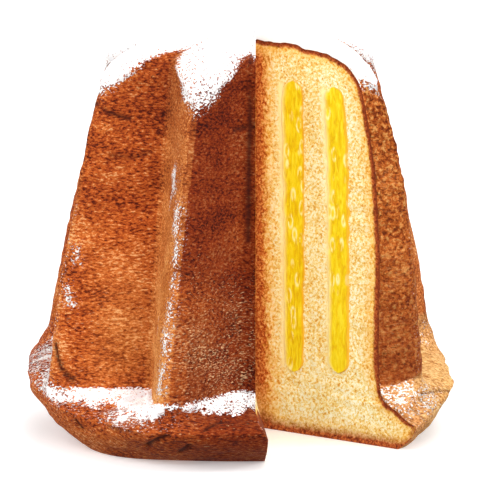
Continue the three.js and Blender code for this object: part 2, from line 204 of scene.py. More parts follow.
def sector_of(angle, height):
    """The ridge before each direction, the share of the way to the next one, and how far it is."""
    angle, height = np.broadcast_arrays(angle, height)
    directions = mix(RIDGE_BOTTOM, RIDGE_TOP, up_share(height)[..., None])
    directions = np.concatenate([directions, directions[..., :1] + 360], -1)
    turned = (angle - directions[..., 0]) % 360 + directions[..., 0]
    index = (directions[..., 1:-1] <= turned[..., None]).sum(-1)
    pair = np.take_along_axis(directions, index[..., None] + np.array([0, 1]), -1)
    low, high = pair[..., 0], pair[..., 1]
    return index, (turned - low) / (high - low), high - low


def nearest_ridge(index, share):
    return np.where(share < 0.5, index, index + 1) % RIDGE_COUNT


def valley_of(share):
    """0 on a ridge and 1 in a valley, for a share of the way from one ridge to the next."""
    return 1 - np.abs(2 * share - 1)


def ridge_wave(share):
    """1 on a ridge and 0 in a valley, in a smooth wave."""
    return 0.5 + 0.5 * np.cos(2 * np.pi * share)


def reach_of(ridge, height):
    return mix(REACH_BOTTOM[ridge], REACH_TOP[ridge], up_share(height))


def star_radius(angle, height):
    index, share, width = sector_of(angle, height)
    up = up_share(height)
    half = np.radians(width / 2)
    plain = mix(*RIDGE_RADIUS, up)
    ridge = plain * reach_of(nearest_ridge(index, share), height)
    valley = plain * mix(*VALLEY_SHARE, up)

    def rounded(away):
        on_ridge = np.hypot(away, RIDGE_ROUNDING)
        in_valley = np.hypot(half - away, VALLEY_ROUNDING)
        return on_ridge / (on_ridge + in_valley)

    along = half * (rounded(half * valley_of(share)) - rounded(0)) / (rounded(half) - rounded(0))
    return ridge * valley * np.sin(half) / (ridge * np.sin(along) + valley * np.sin(half - along))


def crown_radius(angle, height):
    up = np.clip((height - CROWN_START) / (CROWN_HEIGHT - CROWN_START), 0, 1)
    low_side = bell(turn_between(angle, LOW_SIDE["at"]), LOW_SIDE["spread"])
    radius = mix(CROWN_RADIUS, LOW_SIDE["radius"], low_side)
    power = mix(CROWN_FALL_POWER, LOW_SIDE["fall_power"], low_side)
    return radius * (1 - up**CROWN_RISE_POWER) ** (1 / power)


def lumps(angle, height):
    a = np.radians(angle)
    h = height / CROWN_HEIGHT
    slow = np.sin(3 * a + 5 * h) + np.sin(5 * a - 9 * h + 1) + np.sin(11 * a + 14 * h + 2)
    return LUMP_HEIGHT * slow / 3


def wall_radius(angle, height):
    star = star_radius(angle, height)
    crown = np.maximum(crown_radius(angle, height), 0.3)
    narrower = (star**-CROWN_BLEND + crown**-CROWN_BLEND) ** (-1 / CROWN_BLEND)
    return narrower + lumps(angle, height) * np.clip(narrower / RIDGE_RADIUS[1], 0, 1)


def foot_at(angle):
    """The foot's rim height, shelf height, rim radius and base radius in each direction."""
    flat = np.zeros(np.shape(angle))
    index, share, _ = sector_of(angle, flat)
    reach = reach_of(nearest_ridge(index, share), flat)
    rim_radius = mix(RIM_RADIUS_VALLEY, RIM_RADIUS_RIDGE * reach, ridge_wave(share))
    rim_radius = rim_radius + lumps(angle, 0)
    foot = [RIM_HEIGHT + flat, SHELF_HEIGHT + flat, rim_radius, BASE_RADIUS + flat]
    for at, spread, *added in FOOT_SWELLS:
        share = bell(turn_between(angle, at), spread)
        foot = [value + more * share for value, more in zip(foot, added)]
    return foot


def crust_radius(angle, height):
    rim_height, shelf_height, rim_radius, base_radius = foot_at(angle)
    under = np.clip(height / rim_height, 0, 1)
    underside = mix(base_radius, rim_radius, 1 - (1 - under) ** UNDERSIDE_POWER)
    above_shelf = np.maximum(height - shelf_height, 0)
    wall = np.minimum(wall_radius(angle, height), rim_radius + above_shelf)
    up = np.clip((height - rim_height) / (shelf_height - rim_height), 0, 1)
    upper = wall + np.maximum(rim_radius - wall, 0) * (1 - up**SHELF_BEND) ** SHELF_FALL
    return np.where(height < rim_height, underside, upper)


def direction_of(places):
    return np.degrees(np.arctan2(places[..., 0], -places[..., 1]))


def from_axis(places):
    return np.hypot(places[..., 0], places[..., 1])


def inside_crust(places):
    height = places[..., 2]
    within = from_axis(places) < crust_radius(direction_of(places), height)
    return within & (height < CROWN_HEIGHT)


RAY_LENGTH = 200.0
RAY_ROUNDS = 36


def crust_from_point(rays, height):
    """Where rays from the point of the wedge, at that height, leave the crust."""
    rays = unit(rays)
    start = np.zeros(rays.shape)
    start[..., 0] = POINT_X
    start[..., 2] = height

    def within(reach):
        return inside_crust(start + rays * reach[..., None])

    near = np.zeros(rays.shape[:-1])
    near, _ = halve(near, near + RAY_LENGTH, within, RAY_ROUNDS)
    return start + rays * near[..., None]


def towards(angle, elevation=0.0):
    """The unit vector in a direction, at an elevation."""
    a, e = np.broadcast_arrays(np.radians(angle), np.radians(elevation))
    return np.stack([np.sin(a) * np.cos(e), -np.cos(a) * np.cos(e), np.sin(e)], -1)


def around(angle, radius, height):
    """The places in a direction, at a distance from the axis and at a height."""
    places = towards(angle) * radius[..., None]
    places[..., 2] = height
    return places


def crust_at(angle, height):
    return around(angle, crust_radius(angle, height), height)


def right_cut(height):
    return mix(*RIGHT_CUT, np.clip(height / DOME_CENTRE, 0, 1) ** RIGHT_CUT_POWER)


def right_cut_edge(height):
    angle = right_cut(height)
    return direction_of(crust_from_point(towards(angle), height))


def left_cut_edge(height):
    angle = LEFT_CUT_FLARE * smooth((LEFT_FLARE_HEIGHT - height) / LEFT_FLARE_BLEND)
    return direction_of(crust_from_point(towards(angle), height)) + 360


def boundary(index, height):
    """Where a sector of the grid begins: at a cut face or at a ridge."""
    if index == 0:
        return right_cut_edge(height)
    if index == len(SECTOR_STEPS):
        return left_cut_edge(height)
    return ridge_direction(FIRST_RIDGE + index - 1, height)


# ---- The grid of the crust ----


def grid_columns():
    """The sector of each column, and its share of the way across."""
    sector = np.repeat(np.arange(len(SECTOR_STEPS)), SECTOR_STEPS)
    share = np.concatenate([shares(steps)[:-1] for steps in SECTOR_STEPS])
    return np.append(sector, sector[-1]), np.append(share, 1.0)


def column_directions(heights):
    """The direction of each column of the grid at its own heights."""
    sector, share = grid_columns()
    found = np.zeros(heights.shape)
    for index in range(len(SECTOR_STEPS)):
        here = sector == index
        low = boundary(index, heights[here])
        high = boundary(index + 1, heights[here])
        found[here] = mix(low, high, share[here][:, None])
    return found


def crust_grid():
    """Places on the bare crust: a column for each direction, with rows from the base to the top."""
    sector, _ = grid_columns()
    low = np.zeros((len(sector), 1))
    rim_height, shelf_height, _, _ = foot_at(column_directions(low))
    under = rim_height * shares(UNDERSIDE_ROWS)[:-1] ** UNDERSIDE_CROWDING
    shelf = mix(rim_height, shelf_height, shares(SHELF_ROWS)[:-1])
    wall = mix(shelf_height, DOME_CENTRE, shares(WALL_ROWS)[:-1])
    heights = np.concatenate([under, shelf, wall], 1)
    level = crust_at(column_directions(heights), heights)
    side_heights = low + DOME_CENTRE
    side = crust_at(column_directions(side_heights), side_heights)
    out = unit(side[..., :2] - np.array([POINT_X, 0]))
    elevation = np.radians(90 * shares(DOME_ROWS))[:, None]
    rising = np.sin(elevation) + 0 * out[..., :1]
    dome = crust_from_point(np.concatenate([out * np.cos(elevation), rising], -1), DOME_CENTRE)
    dome[:, -1] = dome[0, -1]
    return np.concatenate([level, dome], 1)


def grid_normals(grid):
    normals = unit(np.cross(np.gradient(grid, axis=0), np.gradient(grid, axis=1)))
    normals[:, -1] = (0, 0, 1)
    return normals


def along_columns(grid):
    """The length of each column from its base to each row."""
    steps = np.linalg.norm(np.diff(grid, axis=1), axis=-1)
    return np.concatenate([np.zeros((len(grid), 1)), np.cumsum(steps, 1)], 1)


def distance_to_path(points, path):
    """How far each point is from a line through the points of the path."""
    nearest = np.full(points.shape[:-1], 1e9)
    for start, end in zip(path[:-1], path[1:]):
        leg = end - start
        share = ((points - start) @ leg) / max(leg @ leg, 1e-9)
        foot = start + np.clip(share, 0, 1)[..., None] * leg
        nearest = np.minimum(nearest, np.linalg.norm(points - foot, axis=-1))
    return nearest


# ---- Meshes ----


def outline(grid):
    """The border of a grid, once around it and back to the first place."""
    return np.concatenate([grid[0, :-1], grid[:-1, -1], grid[-1, :0:-1], grid[::-1, 0]])


def quads(columns, rows, start, flipped):
    """The faces of a grid of points that is stored column after column."""
    corner = start + (np.arange(columns - 1)[:, None] * rows + np.arange(rows - 1)).ravel()
    faces = np.stack([corner, corner + rows, corner + rows + 1, corner + 1], -1)
    return faces[:, ::-1] if flipped else faces


SHARP_ANGLE = 50


class Build:
    """A mesh that is put together from grids, whose shared borders are merged at the end."""

    def __init__(self):
        self.points = []
        self.faces = []
        self.slots = []
        self.values = []
        self.count = 0

    def grid(self, places, slot=0, flipped=False, **values):
        columns, rows = places.shape[:2]
        faces = quads(columns, rows, self.count, flipped)
        self.faces.append(faces)
        self.slots.append(np.full(len(faces), slot))
        self.points.append(places.reshape(-1, 3))
        self.values.append((places.shape[:2], values))
        self.count += columns * rows

    def piece(self, name, materials, slot):
        """The piece that takes the place of the solid with that name."""
        mesh = bpy.data.meshes.new(name)
        points = (np.concatenate(self.points) + AXIS) * MM
        mesh.from_pydata(points.tolist(), [], np.concatenate(self.faces).tolist())
        mesh.polygons.foreach_set("material_index", np.concatenate(self.slots).astype(np.int32))
        for key in dict.fromkeys(key for _, values in self.values for key in values):
            parts = [np.broadcast_to(values.get(key, 0), shape) for shape, values in self.values]
            flat = np.concatenate([part.reshape(-1) for part in parts])
            mesh.attributes.new(key, "FLOAT", "POINT").data.foreach_set("value", flat)
        merge_and_close(mesh)
        mesh.polygons.foreach_set("use_smooth", [True] * len(mesh.polygons))
        mesh.set_sharp_from_angle(angle=math.radians(SHARP_ANGLE))
        for material in materials:
            mesh.materials.append(material)
        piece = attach(add_object(name, mesh), "root")
        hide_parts(name)


def add_object(name, data):
    thing = bpy.data.objects.new(name, data)
    bpy.context.scene.collection.objects.link(thing)
    return thing


def merge_and_close(mesh):
    """Joins the borders that grids share, and fills the flat hole that is left under the base."""
    work = bmesh.new()
    work.from_mesh(mesh)
    bmesh.ops.remove_doubles(work, verts=work.verts, dist=1e-7)
    bmesh.ops.dissolve_degenerate(work, dist=1e-8, edges=work.edges)
    open_edges = [edge for edge in work.edges if edge.is_boundary]
    filled = bmesh.ops.holes_fill(work, edges=open_edges, sides=0)
    bmesh.ops.triangulate(work, faces=filled["faces"])
    work.to_mesh(mesh)
    work.free()


# ---- Nodes of the materials ----


def linear(value):
    """The linear value of one that a screen gives from 0 to 255."""
    share = value / 255
    return share / 12.92 if share <= 0.04045 else ((share + 0.055) / 1.055) ** 2.4


def colour(*screen):
    return (*map(linear, screen), 1.0)


STROKE_TILT = -35  # the fine wrinkles run up to the right


class Material:
    """Short calls for the nodes that the materials here are made of."""

    def __init__(self, name):
        self.material = bpy.data.materials.new(name)
        self.material.use_nodes = True
        self.tree = self.material.node_tree
        self.shader = self.tree.nodes["Principled BSDF"]
        coordinates = self.node("TexCoord", {})
        self.places = self.divide(coordinates.outputs["Object"], (MM, MM, MM))

    def fill(self, node, inputs):
        """Links the outputs of nodes and sets values; a colour is given by its screen values."""
        for place, value in inputs.items():
            socket = node.inputs[place]
            if isinstance(value, bpy.types.NodeSocket):
                self.tree.links.new(value, socket)
            elif value is not None:
                socket.default_value = colour(*value) if socket.type == "RGBA" else value
        return node

    def node(self, kind, inputs, **settings):
        node = self.tree.nodes.new("ShaderNode" + kind)
        for name, value in settings.items():
            setattr(node, name, value)
        return self.fill(node, inputs)

    def divide(self, places, by):
        return self.node("VectorMath", {0: places, 1: by}, operation="DIVIDE").outputs["Vector"]

    def math(self, operation, first, second, clamp=False):
        inputs = {0: first, 1: second}
        return self.node("Math", inputs, operation=operation, use_clamp=clamp).outputs[0]

    def plus(self, first, second):
        return self.math("ADD", first, second)

    def minus(self, first, second):
        return self.math("SUBTRACT", first, second)

    def times(self, first, second):
        return self.math("MULTIPLY", first, second)

    def noise(self, size, detail=2, roughness=0.5, stretch=None, tilt=STROKE_TILT, distortion=0):
        """Noise with bumps about as wide as size, that may be stretched along tilted axes."""
        places = self.places
        if stretch:
            turn = (0, math.radians(tilt), 0)
            scale = [1 / value for value in stretch]
            mapping = self.node("Mapping", {"Rotation": turn, "Scale": scale, "Vector": places})
            places = mapping.outputs["Vector"]
        inputs = {"Vector": places, "Scale": 1 / size, "Detail": detail}
        inputs.update({"Roughness": roughness, "Distortion": distortion})
        return self.node("TexNoise", inputs).outputs[0]

    def attribute(self, name):
        return self.node("Attribute", {}, attribute_name=name).outputs["Fac"]

    def spread(self, value, start, end):
        """0 up to the start and 1 from the end, whichever of the two is greater."""
        inputs = {"Value": value, "From Min": start, "From Max": end}
        return self.node("MapRange", inputs).outputs["Result"]

    def ramp(self, value, *stops):
        """A colour for each value, from stops with a place and the screen values of a colour."""
        node = self.node("ValToRGB", {"Fac": value})
        elements = node.color_ramp.elements
        while len(elements) < len(stops):
            elements.new(0.5)
        for element, (place, *shade) in zip(elements, stops):
            element.position = place
            element.color = colour(*shade)
        return node.outputs["Color"]

    def blend(self, share, first, second, way="MIX"):
        inputs = {0: share, 6: first, 7: second}
        node = self.node("Mix", inputs, data_type="RGBA", blend_type=way, clamp_factor=True)
        return node.outputs[2]

    def bump(self, height, distance, strength, after=None):
        inputs = {"Height": height, "Distance": distance * MM, "Strength": strength}
        return self.node("Bump", {**inputs, "Normal": after}).outputs["Normal"]

    def finish(self, shade, roughness, normal=None, specular=0.3):
        inputs = {"Base Color": shade, "Roughness": roughness, "Normal": normal}
        self.fill(self.shader, {**inputs, "Specular IOR Level": specular})
        return self.material


# ---- Materials ----

SUGAR_WHITE = (247, 245, 243)
CRUST_DARKEST = (70, 20, 5)
CRACK_SHADE = (58, 18, 8)
BROWNING_AND_SHADE = (172, 140, 128)  # what the crust is multiplied by where it is fully browned, and where shade is painted on it
STROKE_PALE = (232, 186, 136)


def crust_shade(m):
    """The baked crust's colour, with some painted light and shade: fine slanting wrinkles and small
    dark pores on a brown.
    """
    wrinkles = m.noise(1.12, detail=5, roughness=0.7, stretch=(2.3, 1.4, 0.95))
    slow = m.minus(m.noise(18, detail=3, stretch=(1.6, 1.6, 0.8), tilt=STROKE_TILT / 2), 0.5)
    grain = m.plus(wrinkles, m.times(slow, 0.34))
    shade = m.ramp(
        grain,
        (0.35, *CRUST_DARKEST),
        (0.42, 132, 48, 16),
        (0.5, 184, 84, 30),
        (0.585, 208, 110, 42),
        (0.67, 238, 180, 122),
    )
    # Browned crust, and painted shade on the front ridge's right flank, by the left cut, in the
    # upper valleys and on the foot's front.
    shade = m.blend(m.attribute("browning_and_shade"), shade, m.blend(1.0, shade, BROWNING_AND_SHADE, way="MULTIPLY"))
    # Amber crust, which on the left-facing strip beside the front ridge is painted light.
    golden_and_lit = m.ramp(grain, (0.36, 150, 68, 24), (0.5, 204, 122, 54), (0.64, 236, 174, 106))
    shade = m.blend(m.attribute("golden_and_lit"), shade, golden_and_lit)
    pale = m.ramp(grain, (0.36, 166, 94, 38), (0.5, 230, 174, 100), (0.62, 250, 218, 156))
    shade = m.blend(m.attribute("paleness"), shade, pale)
    # The lumps are painted lighter on their raised tops and darker in the pits between them:
    # painted highlights and painted shade.
    lumps = m.noise(2.3, detail=4, roughness=0.62, distortion=0.4)
    lumpy = m.ramp(
        lumps,
        (0.37, 88, 30, 6),
        (0.45, 160, 72, 22),
        (0.53, 206, 110, 40),
        (0.64, 240, 172, 96),
    )
    shade = m.blend(m.times(m.attribute("lumpy"), 0.75), shade, lumpy)
    pores = m.spread(m.noise(0.85, stretch=(1.3, 1, 1)), 0.41, 0.3)
    shade = m.blend(m.times(pores, m.attribute("pores")), shade, CRUST_DARKEST)
    # Fine pale strokes that stand for lit wrinkles: painted highlights.
    strokes = m.noise(0.85, detail=3, roughness=0.65, stretch=(3.6, 1.8, 0.85))
    lit = m.spread(m.plus(strokes, m.times(m.attribute("strokes"), 0.18)), 0.7, 0.81)
    shade = m.blend(m.times(lit, 0.75), shade, STROKE_PALE)
    # Painted shade along the cracks and creases.
    shade = m.blend(m.attribute("crack"), shade, CRACK_SHADE)
    height = m.plus(grain, m.times(m.times(lumps, m.attribute("lumpy")), 4.0))
    return shade, height


def sugar_share(m, cover):
    """Where powdered sugar lies, for a cover from 0, none, to 1, all white."""
    specks = m.noise(1.05, detail=3, roughness=0.6, stretch=(1.3, 1.1, 1))
    return m.math("MULTIPLY", m.minus(cover, m.spread(specks, 0.36, 0.66)), 6.0, clamp=True)


def crust_material():
    m = Material("crust")
    shade, height = crust_shade(m)
    dusted = sugar_share(m, m.attribute("dust"))
    shade = m.blend(dusted, shade, SUGAR_WHITE)
    height = m.plus(height, m.times(dusted, 0.5))
    folds = m.noise(2.6, stretch=(2.6, 1.3, 0.9))
    normal = m.bump(folds, 1.4, 0.9, after=m.bump(height, 0.9, 1.0))
    roughness = m.plus(m.times(dusted, 0.21), 0.74)
    return m.finish(shade, roughness, normal, specular=0.1)


def sugar_material():
    m = Material("sugar")
    shade, _ = crust_shade(m)
    patches = m.ramp(m.noise(9, detail=3), (0.36, 238, 238, 240), (0.56, *SUGAR_WHITE))
    shade = m.blend(sugar_share(m, m.attribute("dust")), shade, patches)
    powder = m.noise(1.1, detail=5, roughness=0.65)
    clumps = m.noise(4.5)
    normal = m.bump(clumps, 1.0, 0.5, after=m.bump(powder, 0.5, 0.6))
    return m.finish(shade, 0.95, normal, specular=0.15)


def grain_material():
    m = Material("sugar_grain")
    shade = m.ramp(m.noise(0.8), (0.3, 240, 232, 222), (0.7, *SUGAR_WHITE))
    return m.finish(shade, 0.9, specular=0.2)


def crumb_material():
    """The cut face: pale crumb with amber pores, painted shade near its point, browned near the
    crust.
    """
    m = Material("crumb")
    pores = m.noise(1.35, detail=4, roughness=0.6, distortion=0.6)
    base = m.ramp(
        m.plus(pores, m.times(m.minus(m.noise(22), 0.5), 0.12)),
        (0.33, 208, 140, 50),
        (0.42, 231, 190, 94),
        (0.5, 239, 218, 150),
        (0.61, 247, 241, 214),
    )
    base = m.blend(m.attribute("cream_halo"), base, (255, 238, 178))
    warm = m.blend(1.0, base, (252, 218, 158), way="MULTIPLY")
    # Painted shade for the corner at the wedge's point, and the crust's edge colour, which is also
    # painted shade at the point and partly along the crust.
    point_shade = m.ramp(pores, (0.37, 140, 50, 12), (0.5, 200, 100, 34), (0.64, 238, 172, 88))
    rind_and_shade = m.ramp(pores, (0.34, 92, 32, 10), (0.5, 158, 68, 28), (0.64, 204, 112, 52))
    fray = m.minus(m.noise(3.0, detail=3), 0.5)
    point = m.plus(m.attribute("point_distance"), m.times(fray, 13.0))
    depth = m.plus(m.attribute("crust_depth"), m.times(fray, 2.0))
    bottom = m.plus(m.attribute("base_distance"), m.times(fray, 4.0))
    shade = base
    # Each layer of brown: up to which distance, from which distance on none, how much, and which.
    # Near the point the layers are painted shade in the corner of the wedge. Near the crust they
    # are browned crumb and the crust's dark edge, which is partly painted shade; near the base, the
    # crust's dark edge, reaching higher beside the point as painted shade.
    for distance, full, none, share, brown in (
        (point, 6.0, 13.0, 1.0, warm),
        (point, 4.0, 8.0, 1.0, point_shade),
        (point, 0.8, 3.6, 0.45, rind_and_shade),
        (depth, 2.8, 10.0, 1.0, warm),
        (depth, 2.2, 3.4, 1.0, rind_and_shade),
        (depth, 0.6, 2.0, 0.8, (104, 36, 12)),
        (bottom, 5.0, 14.0, 0.7, warm),
        (bottom, 2.2, 7.2, 1.0, rind_and_shade),
    ):
        shade = m.blend(m.times(m.spread(distance, none, full), share), shade, brown)
    return m.finish(shade, 0.85, m.bump(pores, 0.5, 0.7), specular=0.2)


def cream_material():
    """Yellow cream with pale lens-shaped streaks that are painted highlights, and a pale edge on
    its inner side.
    """
    m = Material("cream")
    stretched = m.divide(m.places, (1, 1, 2.4))
    lenses = m.node("TexVoronoi", {"Vector": stretched, "Scale": 1 / 5.2}).outputs["Distance"]
    streaks = m.noise(1.8, detail=3, stretch=(1, 1, 4), tilt=0, distortion=0.8)
    shade = m.ramp(streaks, (0.34, 222, 178, 2), (0.5, 233, 203, 6), (0.66, 242, 220, 44))
    lens_highlight = m.times(m.spread(lenses, 0.14, 0.24), m.spread(lenses, 0.38, 0.28))
    # Pale outlines of the lenses on the brighter streaks: painted highlights.
    shade = m.blend(m.times(lens_highlight, m.spread(streaks, 0.4, 0.54)), shade, (253, 240, 166))
    shade = m.blend(m.attribute("pale_edge"), shade, (252, 234, 170))
    shade = m.blend(m.attribute("dark_edge"), shade, (232, 160, 40))
    return m.finish(shade, 0.45, m.bump(streaks, 0.9, 0.6), specular=0.35)


# ---- Marks on the crust ----

# Cracks and creases: points as (direction, height), how deep, how wide and how dark their painted
# shade is.
CRACKS = [
    ([(-25.4, 12), (-22.8, 16.4), (-20.3, 19), (-17.9, 21)], 1.8, 1.7, 1.0),
    ([(-17.1, 8.6), (-14.6, 12.2), (-13, 14.6)], 1.6, 1.6, 1.0),
    ([(-9.1, 23.6), (-6.6, 25.1), (-3.3, 25.9)], 0.9, 1.4, 0.7),
    ([(-37.7, 22.8), (-33, 20), (-29, 21)], 1.0, 2.0, 0.35),
    ([(-62.5, 57), (-61.8, 52), (-60.5, 45), (-57.6, 38)], 1.2, 1.6, 0.8),
    ([(-48.5, 20.5), (-47.7, 16.1)], 1.0, 1.5, 0.8),
    ([(69, 27), (75.5, 26.2), (80.5, 23.6)], 1.0, 1.0, 0.8),
    ([(56.5, 31), (58.8, 23), (59.2, 14)], 0.8, 1.0, 0.4),
    ([(60.5, 31), (62.6, 24), (63.4, 15)], 0.9, 1.1, 0.45),
    ([(65, 30), (67.6, 24), (69, 18)], 0.8, 1.1, 0.4),
    ([(-64.6, 186.3), (-59.2, 182.4), (-53.8, 179.1)], 0.7, 1.8, 0.6),
    ([(-57, 160), (-52, 158), (-47, 161)], 0.6, 1.8, 0.35),
    ([(-1.7, 176.9), (3.1, 177.8), (7.9, 177.9)], 0.8, 1.5, 0.7),
    ([(7.4, 212), (6.2, 182), (5.1, 150), (4.6, 117)], 0.4, 2.2, 0.55),
]
LUMPY_WALL = 68  # the direction of the ridge whose walls are coarse and lumpy
LUMPY_SPREAD = 18


def away_from_mark(grid, points):
    """How far each place is from a line on the crust, whose points are (direction, height)."""
    return distance_to_path(grid, crust_at(*np.array(points, float).T))


def crack_marks(grid):
    """How far the crust is sunk along its cracks, and how dark the painted shade in them is."""
    sunk = dark = np.zeros(grid.shape[:2])
    for points, depth, width, darkness in CRACKS:
        away = away_from_mark(grid, points)
        sunk = sunk + depth * bell(away, width)
        dark = np.maximum(dark, np.clip(1.5 * darkness * bell(away, 0.7 * width), 0, 1))
    return sunk, dark


def crust_relief(grid):
    """The unevenness of the crust, outwards: slow dents, level wrinkles and fine grain."""
    flattened = grid * np.array([1, 1, 2.3])
    relief = 0.45 * noise(grid, 15, 1) + 0.35 * noise(flattened, 10, 2)
    relief += 0.26 * noise(grid, 4.2, 3) + 0.16 * noise(grid, 2.3, 4)
    arc = np.radians(direction_of(grid)) * RIDGE_RADIUS[1]
    slanted = np.stack([(arc + grid[..., 2]) / 2.4, grid[..., 2] - 0.7 * arc, 0 * arc], -1)
    relief += 0.3 * noise(slanted, 5, 5)
    relief += on_foot(grid) * (0.8 * noise(grid, 9, 8) + 0.45 * noise(grid, 4.4, 9))
    return relief + lumpy_share(grid) * (0.8 * noise(grid, 5, 6) + 0.5 * noise(grid, 3, 7))


def beside_lumpy_ridge(angle):
    return bell(turn_between(angle, LUMPY_WALL), LUMPY_SPREAD)


def lumpy_share(grid):
    """1 where the wall is coarse and lumpy, on both sides of one ridge and more higher up."""
    up = mix(0.35, 1, smooth((grid[..., 2] - 30) / 110))
    return up * beside_lumpy_ridge(direction_of(grid)) * (1 - on_foot(grid))


# ---- The pieces ----


def cap_edge_distance(grid):
    """How far each place of the grid lies above the cap's edge, along its column."""
    lengths = along_columns(grid)
    near_ridge = 1 - cap_valley_share(grid)[:, DOME_START]
    edge_heights = mix(CAP_VALLEY_HEIGHT, CAP_TONGUE_HEIGHT, near_ridge)
    rows = slice(DOME_START, -1)
    edges = [
        np.interp(height, places[rows, 2], length[rows])
        for height, places, length in zip(edge_heights, grid, lengths)
    ]
    return lengths - np.array(edges)[:, None]


# How much further up the sugar ends in each valley than the cap does.
BARE_VALLEYS = [2, 0, 17, 11, 3, 1, 4, 2]
# Two tongues of the cap reach over their ridge, by a share of the way to the next ridge.
VALLEY_LEFT_OF_TONGUE = 2
SHIFT_LEFT = 0.055
VALLEY_RIGHT_OF_TONGUE = 5
SHIFT_RIGHT = 0.2


def cap_valley_share(grid):
    """0 on a ridge and 1 in a valley at the crown, with the tongues that reach over their ridge."""
    index, share, _ = sector_of(direction_of(grid), CROWN_HEIGHT)
    share = share + SHIFT_LEFT * smooth(share / 0.2) * (index == VALLEY_LEFT_OF_TONGUE)
    share = share - SHIFT_RIGHT * smooth((1 - share) / 0.3) * (index == VALLEY_RIGHT_OF_TONGUE)
    return np.clip(valley_of(share), 0, 1)


def bare_valley(grid):
    index, _, _ = sector_of(direction_of(grid), CROWN_HEIGHT)
    return np.array(BARE_VALLEYS)[index] * cap_valley_share(grid) ** 1.4


# How much sugar lies along each ridge.
CREST_SUGAR = [0.6, 0.8, 0.35, 0.4, 0.0, 0.15, 0.8, 0.6]
# Patches of sugar on the flanks: points as (direction, height), how much and how wide.
SUGAR_PATCHES = [
    ([(-25.8, 154), (-25.2, 149)], 0.7, 6.4),
    ([(-27.4, 144), (-28.2, 136)], 0.5, 2.0),
    ([(-20.4, 138), (-20.2, 128)], 0.6, 4.4),
    ([(-19.2, 122), (-19.6, 112)], 0.6, 3.6),
    ([(-19.2, 104), (-19.6, 98)], 0.5, 2.8),
    ([(-19.8, 90), (-20.2, 82)], 0.58, 3.4),
    ([(-20.4, 74), (-20.8, 64)], 0.54, 3.6),
    ([(-21.4, 54), (-22.4, 43)], 0.56, 3.8),
    ([(-27, 78), (-27.6, 70)], 0.5, 2.4),
    ([(-61, 108), (-60.6, 102)], 0.52, 2.6),
    ([(-61.6, 88), (-60.4, 80)], 0.54, 3.2),
]
# Sugar on the foot: a direction, how far to each side, how much, how far up from the rim to the
# wall, and over which share of that height.
FOOT_SUGAR = [
    (-66, 13, 0.95, 0.5, 0.45),
    (-84, 14, 0.85, 0.42, 0.5),
    (-34, 10, 0.95, 0.42, 0.34),
    (-20, 5, 0.8, 1.0, 0.1),
    (-15, 5, 0.72, 0.95, 0.12),
    (-3, 8, 0.62, 0.85, 0.18),
    (61, 4, 0.55, 0.6, 0.4),
    (70, 7, 0.34, 0.4, 0.4),
    (135, 18, 0.8, 0.6, 0.4),
    (182, 20, 0.8, 0.6, 0.4),
    (-130, 18, 0.8, 0.6, 0.4),
]


def dust_cover(grid, above_cap_edge):
    """How much sugar lies on the bare crust, from 0 to 1."""
    angle = direction_of(grid)
    height = grid[..., 2]
    index, share, width = sector_of(angle, height)
    from_crest = np.radians(width / 2 * valley_of(share)) * from_axis(grid)
    ragged = noise(grid, 7, 11)
    fade = mix(13, 6, valley_of(share))
    below_cap = 0.8 + (above_cap_edge + 3 * ragged - bare_valley(grid)) / fade
    crest = 0.72 * bell(from_crest, 1.6) * smooth((150 - height) / 45)
    crest *= 0.7 + 0.7 * noise(grid, 11, 12)
    crest *= np.array(CREST_SUGAR)[nearest_ridge(index, share)] * (1 - on_foot(grid))
    rim_height, shelf_height, _, _ = foot_at(angle)
    up = (height - rim_height) / (shelf_height - rim_height)
    streaks = noise(np.stack([angle * 0.9, 3 * up, 0 * up], -1), 2.4, 13)
    uneven = (1 + 0.6 * streaks + 0.3 * ragged) * on_foot(grid)
    found = [below_cap, crest]
    for at, spread, cover, middle, band in FOOT_SUGAR:
        amount = cover * bell(turn_between(angle, at), spread) * bell(up - middle, band)
        found.append(amount * uneven)
    for points, cover, band in SUGAR_PATCHES:
        away = away_from_mark(grid, points)
        found.append(cover * bell(away, band * (1 + 0.35 * ragged)))
    return np.clip(np.maximum.reduce(found), 0, 1)


# For each flank, two for each ridge, the one after it and the one before the next: how browned it
# is, with painted shade on the front ridge's right flank beside the left cut, how amber, and how
# many fine pale streaks, painted highlights, it holds.
FLANK_TONE = [0.1, 0.35, 0.2, 0.4, 0.05, 0, 0.85, 1.2, 0, 0.2, 0.7, 0.1, 0.3, 0.1, 0.35, 0.2]
FLANK_GOLD = [0, 0.3, 0, 0.4, 0, 0.7, 0, 0, 0, 0.1, 0.1, 0.35, 0, 0.4, 0, 0.3]
FLANK_STROKES = [0.3, 0.1, 0.5, 0.1, 0.5, 0.4, 0.95, 0.8, 0, 0.3, 0.5, 0.1, 0.4, 0.1, 0.5, 0.2]
FLANK_BLEND = 0.05


def flank_value(values, angle, height):
    """A value of its own on each flank, blended a little over ridges and valleys."""
    index, share, _ = sector_of(angle, height)
    place = 2 * (index + share)
    flanks = np.floor([place - FLANK_BLEND, place + FLANK_BLEND]).astype(int) % len(values)
    return np.array(values)[flanks].mean(0)


def on_foot(grid):
    """1 on the foot, 0 on the wall above it."""
    _, shelf_height, _, _ = foot_at(direction_of(grid))
    return smooth((shelf_height + 1.5 - grid[..., 2]) / 2.5)


GOLDEN_LIT_STRIP = -25  # the direction of the lighter, left-facing strip beside the front ridge: partly paler crust, partly painted light
